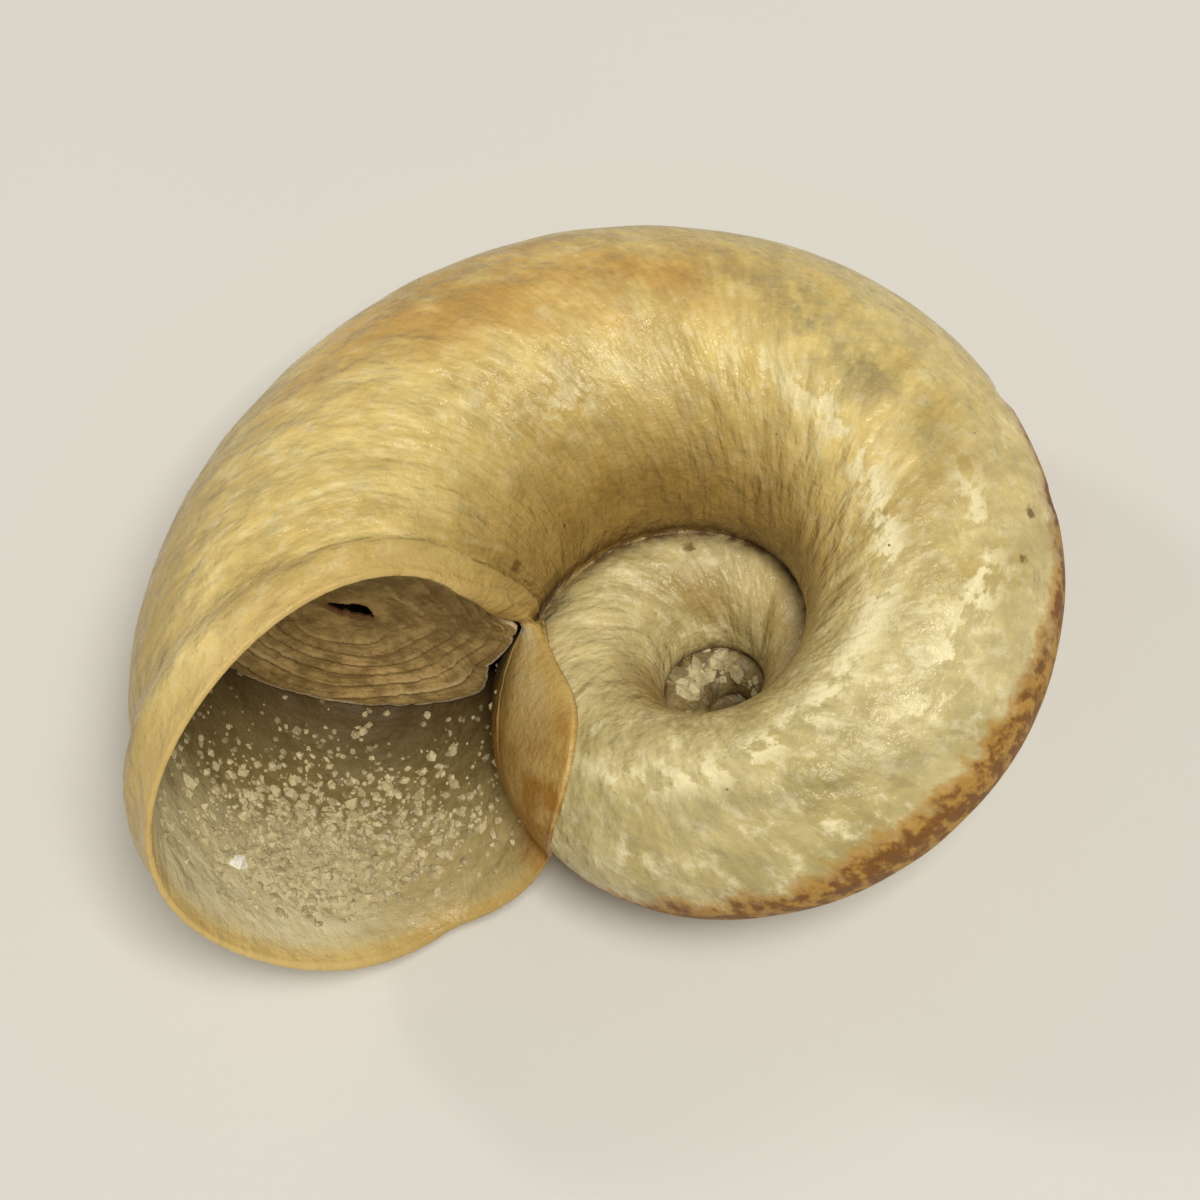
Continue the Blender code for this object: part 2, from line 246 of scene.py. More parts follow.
# The shell: the tube's wall, its lip and the callus where the lip lies on the whorl before.
shellForm = {
    "wall": 0.36,
    "lip": 0.5,  # thickness a little inside the mouth
    "lipSpan": 0.1,  # turns over which the lip thins to the wall
    "crest": 0.17,  # thickness at the very edge of the lip
    "crestSpan": 0.016,  # turns over which the edge thickens to the lip
    "corner": 0.44,  # more on the edge beside the umbilicus
    "cornerAt": (182, 40, 30),  # degrees of the section: middle and reach to both sides
    "under": 0.12,  # and along the lower lip
    "underAt": (-62, 46, 44),
    "bulge": 0.5,  # rounding of the lip's edge, as a share of its thickness
    "glaze": 0.35,  # share of the wall laid on the whorl before
    "glazeAt": (-139, 60, 60),
    # where the lip stands back or reaches ahead: degrees of the section, and turns a degree
    "back": (151, -0.00178),
    "ahead": (84, 0.00107),
    "slantSpan": 0.15,  # turns over which that fades out
    # callus edge on the whorl before: turns ahead of the lip and degrees of that whorl's section
    "callusEdge": ((0.041, -12), (0.111, 102), (0.09, 128), (-0.08, 81)),
    "callusHeight": 0.16,
    "callusGap": 0.04,
    "callusSamples": 200,
    "slopeFrom": 0.35,  # share of the contact over which the cavity's edge runs level
    # over the lip: share of the way to the callus edge, of its height, of the bulge, of the lip
    "lipKeys": (
        (0, 0, 0, 0),
        (0.5, 0, 0.3, 0.03),
        (1, 0, 0.8, 0.15),
        (1, 0.6, 1, 0.4),
        (0.9, 1, 1, 0.65),
        (0.4, 1, 0.6, 0.92),
        (0, 1, 0, 1),
    ),
    # what the depth guide says at the lip's inner edge and on the callus
    "lipDepth": 0.002,
    "callusDepth": 0.09,
    # chips on the outer edge: turn, degrees, depth in mm, and half widths
    "chips": (
        (-0.352, 8, 0.26, 0.006, 16), (-0.487, 9, 0.18, 0.005, 12), (-0.54, 10, 0.14, 0.005, 10),
    ),
    # the ridge behind the lip and the groove behind that: turn, half width in turns, height in mm
    "ridges": ((-0.017, 0.007, 0.24), (-0.034, 0.009, -0.168)),
    # rings and columns of the callus that are smoothed, and how often
    "softRows": (10, 32),
    "softColumns": range(1, 16),
    "softened": 3,
    "bead": (0.26, 0.4),  # radius and height of the bead that closes the apex
    # relief: height, period along the coil, drift round the tube and a seed
    "relief": ((0.1, 5.5, 0.25, 3), (0.05, 1.7, 0.1, 11), (0.035, 0.75, 0.12, 29)),
    "reliefRadius": 5,  # mm
    "reliefFade": 4,  # columns over which relief ends where whorls touch,
    "uncovered": (-1, -0.95),  # turns over which the outer band becomes free,
    "plainEdge": (0, -0.015),  # and turns over which relief ends at the lip
}

column = np.arange(columns, dtype=float)
lipAngle = np.arctan2(*(ringFlat(np.zeros(columns), column) - tubeMiddle(np.zeros(1))).T[::-1])
onOwnWall = column > contact
fromContact = np.clip((contact + 0.5 - column) / 2, 0, 1)
onCallus = fromContact * np.clip((column + 0.5) / 2, 0, 1)


def around(name):
    middle, before, after = shellForm[name]
    return angleShare(math.radians(middle), (math.radians(before), math.radians(after)), lipAngle)


def past(limit, degrees):
    # how far an angle is past a limit, with a soft start
    over = np.maximum(degrees - limit, 0)
    return over ** 2 / (over + 4)


def lipSlant():
    # turns by which each column's end stands back or reaches ahead
    umbilical, spire = slice(contact + 1, bandColumn), slice(spireColumn, columns)
    degrees = np.degrees(lipAngle)
    back, ahead = shellForm["back"], shellForm["ahead"]
    slant = np.zeros(columns)
    slant[umbilical] = back[1] * past(back[0], degrees[umbilical] % 360)
    slant[spire] = ahead[1] * past(ahead[0], -degrees[spire])
    return slant


glazeCover = 1 - (1 - shellForm["glaze"]) * around("glazeAt")
corner = shellForm["corner"] * around("cornerAt")
crest = np.where(onOwnWall, shellForm["crest"], shellForm["wall"] * shellForm["glaze"])
crest += shellForm["under"] * around("underAt")
slant = lipSlant()
# on the whorl before, the cavity's edge runs from one end of the slanting lip to the other
level = shellForm["slopeFrom"] * contact
fromSuture = slant[contact + 1] * smooth(level, contact, column)
innerSlant = np.where(onOwnWall, slant, fromSuture + slant[-1] * smooth(level, 0, column))


def nearMouth(turn, span):
    return np.maximum(1 + turn / span, 0) ** 2


def slanted(turn, lean):
    return turn[:, None] + np.maximum(1 + turn / shellForm["slantSpan"], 0)[:, None] * lean


def cavityInset(turn):
    # depth of the cavity's wall under the outside, for rings at these turns
    turn = turn[:, None]
    wall = shellForm["wall"] * np.sqrt(tubeRadius(turn) / coil["tube"])
    lip = (shellForm["lip"] - shellForm["wall"]) * nearMouth(turn, shellForm["lipSpan"])
    thick = (wall + lip) * glazeCover
    thick += (crest - thick) * nearMouth(turn, shellForm["crestSpan"])
    return thick + corner * nearMouth(turn, shellForm["lipSpan"])


def callusRow(reach, height):
    # a lip ring on the whorl before, moved a share of the way out to the callus edge
    knots = [Vector((*knot, 0)) for knot in shellForm["callusEdge"]]
    curve = np.array(interpolate_bezier(*knots, shellForm["callusSamples"]))
    along = np.minimum(column / contact, 1)
    spread = np.linspace(0, 1, len(curve))
    ahead, degrees = (np.interp(along, spread, curve[:, part]) for part in (0, 1))
    foot = height * innerSlant
    start = np.degrees(between(*bandAngles(foot - 1), along))
    lift = shellForm["callusGap"] + height * shellForm["callusHeight"]
    turn = between(foot, ahead, reach) - 1
    return inSpace(turn, section(turn, np.radians(between(start, degrees, reach)), lift))


def distanceGrown(turn):
    # mm along the middle of the tube
    growth = coil["radiusGrowth"][0]
    return 2 * math.pi * coil["radius"] / growth * np.exp(growth * turn)


def growthRelief(turn, grown, column):
    # low ridges along old lips and shallow dents, none where whorls touch
    fade = shellForm["reliefFade"]
    own = smooth(0, fade, np.minimum(column - contact, columns - column))
    nearBand = smooth(0, fade, np.maximum(bandColumn - column, column - spireColumn))
    bare = smooth(*shellForm["uncovered"], turn)
    share = own * (nearBand + bare * (1 - nearBand)) * smooth(*shellForm["plainEdge"], turn)
    share = share * np.sqrt(tubeRadius(turn) / coil["tube"])
    angle = ringAngle(turn, column)
    along = distanceGrown(turn)
    across, up = (shellForm["reliefRadius"] * part(angle) for part in (np.cos, np.sin))
    relief = 0
    for middle, wide, height in shellForm["ridges"]:
        relief = relief + height * np.exp(-((grown - middle) / wide) ** 2)
    for height, period, drift, seed in shellForm["relief"]:
        places = np.stack((along / period, across * drift, up * drift + seed), axis=-1).reshape(-1, 3)
        waves = np.fromiter((noise.noise(place) for place in places.tolist()), float, len(places))
        relief = relief + height * waves.reshape(turn.shape)
    for middle, degrees, depth, long, wide in shellForm["chips"]:
        away = ((grown - middle) / long) ** 2 + ((np.degrees(angle) - degrees) / wide) ** 2
        relief = relief - depth * np.exp(-away)
    return relief * share


def shellRings():
    # places of all the rings; for each point its turn, its ring's turn and its depth inside
    steps = weave["steps"]
    outer = np.arange(coil["turns"] * steps + 1) / steps - coil["turns"]
    turns = slanted(outer, slant)
    relief = growthRelief(turns, outer[:, None], column)
    ringTurns = np.broadcast_to(outer[:, None], turns.shape)
    parts = [(wallPoint(turns, column, -relief), turns, ringTurns, np.zeros(turns.shape))]
    edge = crest + corner
    ahead = shellForm["bulge"] * edge / (2 * math.pi * (coil["radius"] + coil["tube"]))
    keys = shellForm["lipKeys"]
    rows = throughKeys(keys, np.linspace(0, len(keys) - 1, weave["lipRows"] + 2)[1:-1])
    for reach, height, bulge, depth in rows:
        place = wallPoint(slant + bulge * ahead, column, depth * edge)
        place = np.where(onOwnWall[:, None], place, callusRow(reach, height))
        spread = ((1 - reach) * height) ** 2 * shellForm["callusDepth"]
        depths = between(depth * shellForm["lipDepth"], spread, onCallus)
        parts.append((place[None], slant[None], np.zeros((1, columns)), depths[None]))
    fine = int(weave["fineCavity"] * steps)
    sparse = range(fine, weave["cavityTurns"] * steps + 1, weave["cavityStride"])
    inner = -np.array([*range(fine), *sparse]) / steps
    turns = slanted(inner, innerSlant)
    ringTurns = np.broadcast_to(inner[:, None], turns.shape)
    depths = between(shellForm["lipDepth"], shellForm["callusDepth"], onCallus) - inner[:, None]
    parts.append((wallPoint(turns, column, cavityInset(inner)), turns, ringTurns, depths))
    return *(np.concatenate(part) for part in zip(*parts)), len(outer)


upright = Vector(coil["restUp"]).rotation_difference(Vector((0, 0, 1))).to_matrix()
restAxes = np.array(Matrix.Rotation(coil["restYaw"], 3, "Z") @ upright)
shellPoints, ownTurns, grownTurns, depthInside, outerRings = shellRings()
restPoints = shellPoints @ restAxes.T * mm
low, high = (np.array(corner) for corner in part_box("shell"))
meshLow, meshHigh = restPoints.min(axis=(0, 1)), restPoints.max(axis=(0, 1))
restMove = (low + high - meshLow - meshHigh) / 2
restMove[2] = low[2] - meshLow[2]
weld = 0.0005 * mm  # points closer than this are one
print("coil laid at rest, moved by", np.round(restMove / mm, 2), "mm")


def resting(points):
    # from the coil's own millimetres to the frame
    return np.asarray(points) @ restAxes.T * mm + restMove


def newObject(name, data):
    made = bpy.data.objects.new(name, data)
    bpy.context.scene.collection.objects.link(made)
    return made


def finishMesh(name, bm, material):
    print(name, "has faces", len(bm.faces), "open edges", sum(not edge.is_manifold for edge in bm.edges))
    mesh = bpy.data.meshes.new(name)
    bm.to_mesh(mesh)
    bm.free()
    mesh.materials.append(material)
    mesh.shade_smooth()
    return newObject(name, mesh)


def newMaterial(name):
    material = bpy.data.materials.new(name)
    material.use_nodes = True
    tree = material.node_tree
    return material, tree, tree.nodes["Principled BSDF"]


def feed(node, inputs):
    # links sockets, and sets plain values
    for name, value in inputs.items():
        socket = node.inputs[name]
        if isinstance(value, bpy.types.NodeSocket):
            node.id_data.links.new(value, socket)
        elif socket.type == "RGBA":
            socket.default_value = (*value, 1)
        else:
            socket.default_value = value


def addNode(kind, inputs, tree=None, **settings):
    # in the tree that its inputs come from, where none is given
    tree = tree or next(value.id_data for value in inputs.values() if isinstance(value, bpy.types.NodeSocket))
    node = tree.nodes.new("ShaderNode" + kind)
    for name, value in settings.items():
        setattr(node, name, value)
    feed(node, inputs)
    return node


def arithmetic(operation, *values):
    return addNode("Math", dict(enumerate(values)), operation=operation).outputs[0]


def times(first, second):
    return arithmetic("MULTIPLY", first, second)


def plus(first, second):
    return arithmetic("ADD", first, second)


def shifted(value, grain, reach):
    # a value moved up and down by a noise
    return plus(value, times(arithmetic("SUBTRACT", grain, 0.5), reach))


def attribute(tree, name):
    return addNode("Attribute", {}, tree, attribute_name=name)


def guideParts(tree, name):
    return addNode("SeparateXYZ", {0: attribute(tree, name).outputs["Vector"]}).outputs


def cloudy(place, along, across, detail=2, rough=0.5, seed=0):
    # noise with so many waves in a mm along the first axis and across it
    inputs = {"Vector": place, "Location": (seed, seed, seed), "Scale": (along, across, across)}
    stretched = addNode("Mapping", inputs).outputs[0]
    inputs = {"Vector": stretched, "Scale": 1, "Detail": detail, "Roughness": rough}
    return addNode("TexNoise", inputs).outputs[0]


def noises(place, rows):
    return {name: cloudy(place, *row) for name, row in rows.items()}


def ramp(value, low, high, start=0, end=1):
    inputs = {"Value": value, "From Min": low, "From Max": high, "To Min": start, "To Max": end}
    return addNode("MapRange", inputs, interpolation_type="SMOOTHSTEP").outputs[0]


def blend(share, first, second, mode="MIX"):
    inputs = {0: share, 6: first, 7: second}
    return addNode("Mix", inputs, data_type="RGBA", blend_type=mode).outputs[2]


def inMillimetres(tree):
    place = addNode("TexCoord", {}, tree).outputs["Object"]
    return addNode("Mapping", {"Vector": place, "Scale": (1000, 1000, 1000)}).outputs[0]


shellLook = {
    "cream": (0.8, 0.62, 0.24),
    "honey": (0.6, 0.43, 0.14),
    "pale": (0.68, 0.57, 0.28),
    "straw": (0.53, 0.43, 0.18),
    "goldAndShade": (0.35, 0.215, 0.05),
    "orange": (0.58, 0.33, 0.08),
    "green": (0.31, 0.25, 0.11),
    "crest": (0.68, 0.57, 0.28),
    "chalk": (0.84, 0.75, 0.46),
    # painted highlight: pale broken streaks along the umbilical shoulder, which are also given a lower
    # roughness
    "paintedHighlight": (0.95, 0.85, 0.52),
    "band": (0.21, 0.078, 0.006),
    "bandFringe": (0.5, 0.27, 0.05),
    "lip": (0.66, 0.46, 0.16),
    # suture: the dark colour of the painted shade in the seams and the umbilicus
    "suture": (0.09, 0.038, 0.006),
    "callus": (0.64, 0.43, 0.135),
    "insideEdge": (0.74, 0.66, 0.42),
    "insideFoot": (0.42, 0.33, 0.15),
    # foot: mostly the colour of the painted shade on the inner whorls beside the umbilicus
    "foot": (0.35, 0.215, 0.05),
    "inside": (0.2, 0.15, 0.055),
    "insideDeep": (0.045, 0.022, 0.004),
    "stain": (0.38, 0.185, 0.028),
    "speck": (0.17, 0.085, 0.02),
    "roughness": (0.18, 0.5),
    "paintedHighlightRoughness": 0.24,
    "dullRoughness": 0.62,
    "striae": 0.02,  # mm high
    "wrinkles": 0.24,
    "pits": 0.06,
    "specular": 0.35,
    # how far a colour covers the shell where its guide is strongest
    "cover": {
        "orange": 0.85, "green": 0.95, "crest": 0.5, "band": 0.95, "lip": 0.75, "foot": 0.5, "speck": 0.85,
    },
    # noise: waves in a mm along the growth and across it, detail, roughness and seed
    "grownNoise": {
        "streaks": (1.2, 0.28, 3, 0.6),
        "fine": (5, 1.3, 3, 0.6, 7),
        "ragged": (2.4, 0.7, 4, 0.65, 3),
        "blotch": (0.7, 0.5, 4, 0.6, 5),
        "broken": (1.3, 1.1, 4, 0.6, 31),
        "wrinkles": (1.7, 1, 2, 0.45, 13),
    },
    "plainNoise": {
        "broad": (0.28, 0.28, 3),
        "mottle": (2, 2, 4, 0.65),
        "pits": (4.5, 4.5, 3, 0.6, 17),
        "patch": (0.9, 0.9, 5, 0.65, 9),
        "specks": (3, 3, 1, 0.5, 21),
    },
    # how far noise moves the edge of the band and of the inside's tones
    "bandRagged": 3.2,
    "depthRagged": 0.03,
}

# the shell's attributes, each with three guides that say where a colour or finish goes
guideNames = {
    "zones": ("goldAndShade", "band", "depth"),
    "tints": ("orange", "green", "pale"),
    "marks": ("lip", "suture", "stain"),
    # the last holds the painted highlight, the pale crest, and the mouth's floor with the painted shade
    # outside
    "highlightCrestFootShade": ("paintedHighlight", "crest", "foot"),
}


def tinted(colour, name, share):
    # one of the shell's own colours over another, as far as it covers
    return blend(times(share, shellLook["cover"][name]), colour, shellLook[name])


def wornColour(guides, grain):
    # cream and honey streaks, paler at the edge, with chalky wear and stains, and gold that is partly painted
    # shade
    look = shellLook
    mottle, fine = grain["mottle"], grain["fine"]
    tone = plus(grain["broad"], grain["streaks"])
    colour = blend(ramp(tone, 0.8, 1.3), look["cream"], look["honey"])
    paleTone = blend(ramp(tone, 0.85, 1.25), look["pale"], look["straw"])
    colour = blend(guides["pale"], colour, paleTone)
    chalky = ramp(plus(mottle, times(fine, 0.45)), 0.7, 0.98)
    chalky = times(chalky, arithmetic("MULTIPLY_ADD", guides["pale"], 0.45, 0.5))
    colour = blend(chalky, colour, look["chalk"])
    oranged = times(guides["orange"], ramp(grain["blotch"], 0.32, 0.62))
    colour = tinted(colour, "orange", oranged)
    patchy = ramp(plus(grain["blotch"], mottle), 0.85, 1.15, 0.2, 1)
    colour = tinted(colour, "green", times(guides["green"], patchy))
    colour = tinted(colour, "crest", guides["crest"])
    # gold: partly the shell's own colour in the recess by the umbilicus, partly painted shade there and on
    # the body near the lip
    goldAndShadeShare = times(guides["goldAndShade"], ramp(tone, 0.7, 1.3, 1, 0.75))
    colour = blend(goldAndShadeShare, colour, look["goldAndShade"])
    for part, darkest, lightest in ((fine, 0.93, 1.04), (grain["patch"], 0.88, 1.06)):
        colour = blend(1, colour, ramp(part, 0.35, 0.65, darkest, lightest), "MULTIPLY")
    return colour


def insideColour(guides, grain):
    # pale at the mouth and dark further in, the darkening partly its own colour and partly painted shade of
    # the deep cavity; dusty, with the callus on the whorl before
    look, depth = shellLook, guides["depth"]
    colour = blend(guides["foot"], look["insideEdge"], look["insideFoot"])
    deeper = shifted(depth, grain["patch"], look["depthRagged"])
    # partly painted shade: darker with depth into the cavity
    colour = blend(ramp(deeper, 0.024, 0.068), colour, look["inside"])
    colour = blend(ramp(deeper, 0.055, 0.13), colour, look["insideDeep"])
    glazed = times(guides["lip"], ramp(grain["patch"], 0.35, 0.6, 1, 0.6))
    colour = blend(glazed, colour, look["callus"])
    dusty = times(ramp(grain["mottle"], 0.4, 0.62, 0, 0.3), ramp(depth, 0.09, 0.04))
    return blend(dusty, colour, look["straw"])


def speckShare(place, grain):
    # small dark specks everywhere, and the few larger spots
    specks = ramp(grain["specks"], 0.8, 0.84)
    for turn, degrees, size in shellMarks["spots"]:
        turn = np.array([turn])
        middle = resting(inSpace(turn, section(turn, np.radians(degrees))))[0] / mm
        away = addNode("VectorMath", {0: place, 1: middle}, operation="DISTANCE").outputs["Value"]
        away = shifted(away, grain["pits"], 3 * size)
        spot = ramp(away, 1.25 * size, 0.3 * size, 0, shellLook["cover"]["speck"])
        specks = arithmetic("MAXIMUM", specks, spot)
    return specks


def shellMaterial():
    look = shellLook
    material, tree, shader = newMaterial("shell_wall")
    guides = {}
    for name, parts in guideNames.items():
        guides.update(zip(parts, guideParts(tree, name)))
    place = inMillimetres(tree)
    grain = noises(attribute(tree, "growthPlace").outputs["Vector"], look["grownNoise"])
    grain.update(noises(place, look["plainNoise"]))
    mottle, patch, fine, depth = grain["mottle"], grain["patch"], grain["fine"], guides["depth"]

    # painted highlight: pale broken patches along its stripes
    broken = ramp(plus(grain["broken"], times(mottle, 0.4)), 0.66, 0.74)
    paintedHighlightPatches = times(guides["paintedHighlight"], broken)
    colour = blend(paintedHighlightPatches, wornColour(guides, grain), look["paintedHighlight"])
    edge = shifted(guides["band"], grain["ragged"], look["bandRagged"])
    colour = blend(ramp(edge, -0.4, 0.15, 0, 0.75), colour, look["bandFringe"])
    bandCover = ramp(edge, 0.05, 0.7)
    bandTone = blend(ramp(plus(fine, mottle), 0.9, 1.15), look["band"], look["bandFringe"])
    colour = blend(times(bandCover, look["cover"]["band"]), colour, bandTone)
    for name in ("lip", "foot"):
        colour = tinted(colour, name, guides[name])
    colour = blend(ramp(depth, 0.001, 0.008), colour, insideColour(guides, grain))
    stained = times(guides["stain"], ramp(patch, 0.3, 0.68, 0.15, 0.9))
    colour = blend(arithmetic("MINIMUM", stained, 1), colour, look["stain"])
    # painted shade along the seams and in the umbilicus, broken up by mottle
    seamAndHollowShade = times(guides["suture"], ramp(mottle, 0.35, 0.6, 0.55, 1))
    colour = blend(seamAndHollowShade, colour, look["suture"])
    colour = blend(speckShare(place, grain), colour, look["speck"])

    dull = arithmetic("MAXIMUM", bandCover, ramp(depth, 0.004, 0.03))
    rough = ramp(mottle, 0.3, 0.7, *look["roughness"])
    for share, finish in ((paintedHighlightPatches, "paintedHighlightRoughness"), (dull, "dullRoughness")):
        rough = blend(share, rough, (look[finish],) * 3)
    height = times(fine, look["striae"])
    for name in ("wrinkles", "pits"):
        height = arithmetic("MULTIPLY_ADD", grain[name], look[name], height)
    bump = addNode("Bump", {"Strength": 1, "Distance": mm, "Height": height})
    feed(shader, {
        "Base Color": colour,
        "Roughness": rough,
        "Normal": bump.outputs[0],
        "Specular IOR Level": look["specular"],
    })
    return material


# Where the shell's colours change: turns, degrees of the section, and reach in both.
shellMarks = {
    "goldShadeAngles": (118, 178, 215),  # the recess beside the umbilicus turns golden, partly its own colour and partly painted shade of the recess, and its end
    "goldShadeTurns": (-1.08, -0.88),
    # upper limit of the brown band round the whorl, by turn
    "bandTurns": (
        -1.1, -1.05, -0.94, -0.88, -0.84, -0.81, -0.78, -0.75, -0.71, -0.66, -0.64, -0.6, -0.57, -0.52,
        -0.49, -0.47, -0.43, -0.38, -0.33,
    ),
    "bandTop": (-10, -9, -5, -1, 7, 10, 16, 21, 23, 22, 20, 18, 18, 19, 16, 5, -16, -34, -60),
    "bandFoot": -46,
    "bandFade": (14, 0.6),  # degrees over which it ends, and how much slower at its foot
    "orange": ((-0.235, 88, 0.13, 33),),
    # painted shade: the body whorl's outer side near the lip darkened where the light falls off: turn,
    # degrees and reach in both
    "paintedBodyShade": ((-0.07, 35, 0.1, 36),),
    "paintedBodyShadeShare": 0.6,
    # stripes along the whorl: turn, degrees of the middle, half width and strength
    "green": (
        (-0.6, 87, 7, 0), (-0.56, 87, 8, 0.3), (-0.525, 82, 8, 0.2), (-0.5, 84, 11, 0.85),
        (-0.47, 90, 8, 0.35), (-0.435, 97, 15, 0.9), (-0.405, 98, 15, 0.6), (-0.38, 94, 17, 0.85),
        (-0.35, 88, 14, 0.55), (-0.325, 82, 9, 0),
    ),
    "olive": (
        (-0.96, 60, 10, 0), (-0.88, 58, 12, 0.35), (-0.82, 68, 13, 0.4), (-0.769, 75, 13, 0.6),
        (-0.722, 62, 13, 0.5), (-0.699, 50, 12, 0.6), (-0.65, 42, 10, 0),
    ),
    "crest": (
        (-0.56, 52, 8, 0), (-0.5, 57, 8, 0.8), (-0.45, 65, 9, 1), (-0.4, 55, 11, 0.8),
        (-0.35, 50, 9, 0),
    ),
    # painted highlight streaks along the umbilical shoulder: turn, degrees of the middle, half width and
    # strength
    "paintedHighlight": (
        (-0.96, 80, 6, 0), (-0.866, 83, 7, 0.9), (-0.8, 92, 9, 1), (-0.727, 101, 9, 1),
        (-0.634, 110, 8, 1), (-0.556, 111, 8, 1), (-0.519, 115, 7, 1), (-0.444, 120, 7, 0.8),
        (-0.389, 121, 7, 0.6), (-0.33, 128, 7, 0.2), (-0.269, 134, 8, 0.15), (-0.194, 139, 9, 0.4),
        (-0.12, 142, 9, 0),
    ),
    "secondPaintedHighlight": (
        (-0.7, 62, 6, 0), (-0.653, 63, 9, 1), (-0.625, 67, 11, 1.2), (-0.575, 64, 9, 1),
        (-0.537, 72, 8, 0.8), (-0.5, 78, 5, 0),
    ),
    "paleTurns": (-0.44, -0.66),
    # painted shade on the inner whorls beside the umbilicus: turn, degrees and reach in both
    "shaded": ((-1.24, 145, 0.07, 30), (-1.62, 130, 0.3, 60)),
    # dark spots: turn, degrees and radius in mm
    "spots": (
        (-0.063, 171, 0.2), (-0.551, 36, 0.17), (-0.574, 43, 0.17), (-1.264, 102, 0.15),
        (-0.935, -11, 0.16),
    ),
    # painted shade in the seams between whorls: column, half width in columns, and the turn where it ends
    "seams": (
        (contact + 0.3, 1.9, -0.02), (bandColumn, 3.4, -0.93), (0, 1, -0.02), (spireColumn, 1.6, -1),
    ),
    # painted shade in the hollow of the umbilicus: turns, degrees where it starts and ends, and strength
    "hollow": ((-1.8, -1.95), (60, 85), (220, 205), 0.75),
    "footColumns": (62, 74),  # floor of the mouth
    "lipTurns": (-0.022, 0),
    "lipDepth": (0.0015, 0.01),
    "callusDepth": (0.04, 0.16),
    # stain on the callus, and at the corner where the lip leaves the whorl before
    "stainColumns": (contact - 2, contact - 7),
    "stainTurns": (-0.06, -0.01),
    "earStain": ((-0.05, 0), 3, 1.2),
}


def ovals(places, turn, degrees):
    # soft oval patches, 1 at their middles
    found = np.zeros(turn.shape)
    for middle, height, long, wide in places:
        away = ((turn - middle) / long) ** 2 + ((degrees - height) / wide) ** 2
        found = np.maximum(found, 1 - smooth(0, 1.6, away))
    return found


def stripe(rows, turn, degrees):
    # a soft stripe that follows the whorl, 1 along its middle
    turns, middles, widths, strengths = np.array(rows, float).T
    away = (degrees - np.interp(turn, turns, middles)) / np.interp(turn, turns, widths)
    return np.exp(-away ** 2) * np.interp(turn, turns, strengths)


def seam(place, width, latest):
    # 1 along a column of the grid, for turns before the latest
    away = (column - place + columns / 2) % columns - columns / 2
    return np.exp(-(away / width) ** 2) * (ownTurns < latest)


def shellGuides():
    # the guides of each point of the grid, read by the shell's material
    marks, turn, depth = shellMarks, ownTurns, depthInside
    degrees = np.degrees(ringAngle(turn, column)) % 360
    lower = (degrees + 180) % 360 - 180
    outside, inside = depth == 0, depth > 0
    goldShadeFrom, goldShadeTo, goldShadeEnd = marks["goldShadeAngles"]
    goldAndShade = smooth(goldShadeFrom, goldShadeTo, degrees) * (degrees < goldShadeEnd) * smooth(*marks["goldShadeTurns"], turn)
    fade, footFade = marks["bandFade"]
    top = np.interp(turn, marks["bandTurns"], marks["bandTop"])
    names = ("green", "olive", "crest", "paintedHighlight", "secondPaintedHighlight")
    green, olive, crestPale, paintedHighlight, secondPaintedHighlight = (stripe(marks[name], turn, degrees) for name in names)
    lip = smooth(*marks["lipTurns"], grownTurns) * (1 - smooth(*marks["lipDepth"], depth))
    callus = onCallus * inside * (1 - smooth(*marks["callusDepth"], depth))
    hollowTurns, hollowStart, hollowEnd, hollowShare = marks["hollow"]
    hollow = smooth(*hollowTurns, turn) * smooth(*hollowStart, degrees) * smooth(*hollowEnd, degrees)
    seamShades = [seam(*row) for row in marks["seams"]]
    stain = smooth(*marks["stainColumns"], column) * smooth(*marks["stainTurns"], grownTurns) * inside
    earTurns, earWidth, earShare = marks["earStain"]
    shade = ovals(marks["shaded"], turn, degrees) * outside
    guides = {
        "goldAndShade": np.maximum(goldAndShade, marks["paintedBodyShadeShare"] * ovals(marks["paintedBodyShade"], turn, degrees)),
        "band": np.minimum(top - lower, (lower - marks["bandFoot"]) * footFade) / fade,
        "depth": depth,
        "orange": ovals(marks["orange"], turn, degrees),
        "green": np.maximum(green, olive),
        "pale": smooth(*marks["paleTurns"], turn),
        "lip": np.maximum(lip, callus),
        "suture": np.max((*seamShades, hollowShare * hollow), axis=0) * outside,
        "stain": stain + earShare * seam(0, earWidth, math.inf) * smooth(*earTurns, grownTurns),
        "paintedHighlight": np.maximum(paintedHighlight, secondPaintedHighlight),
        "crest": crestPale,
        # the floor of the mouth inside, and painted shade outside
        "foot": smooth(*marks["footColumns"], column) * inside + shade,
    }
    layers = {name: np.stack([guides[part] for part in parts], axis=-1) for name, parts in guideNames.items()}
    flat = ringFlat(turn, column) - tubeMiddle(turn)
    layers["growthPlace"] = np.concatenate((distanceGrown(grownTurns)[..., None], flat), axis=-1)
    return layers


def wrapped(grid):
    # the first column again after the last one, as a flat list of points
    return np.concatenate((grid, grid[:, :1]), axis=1).reshape(-1, 3)


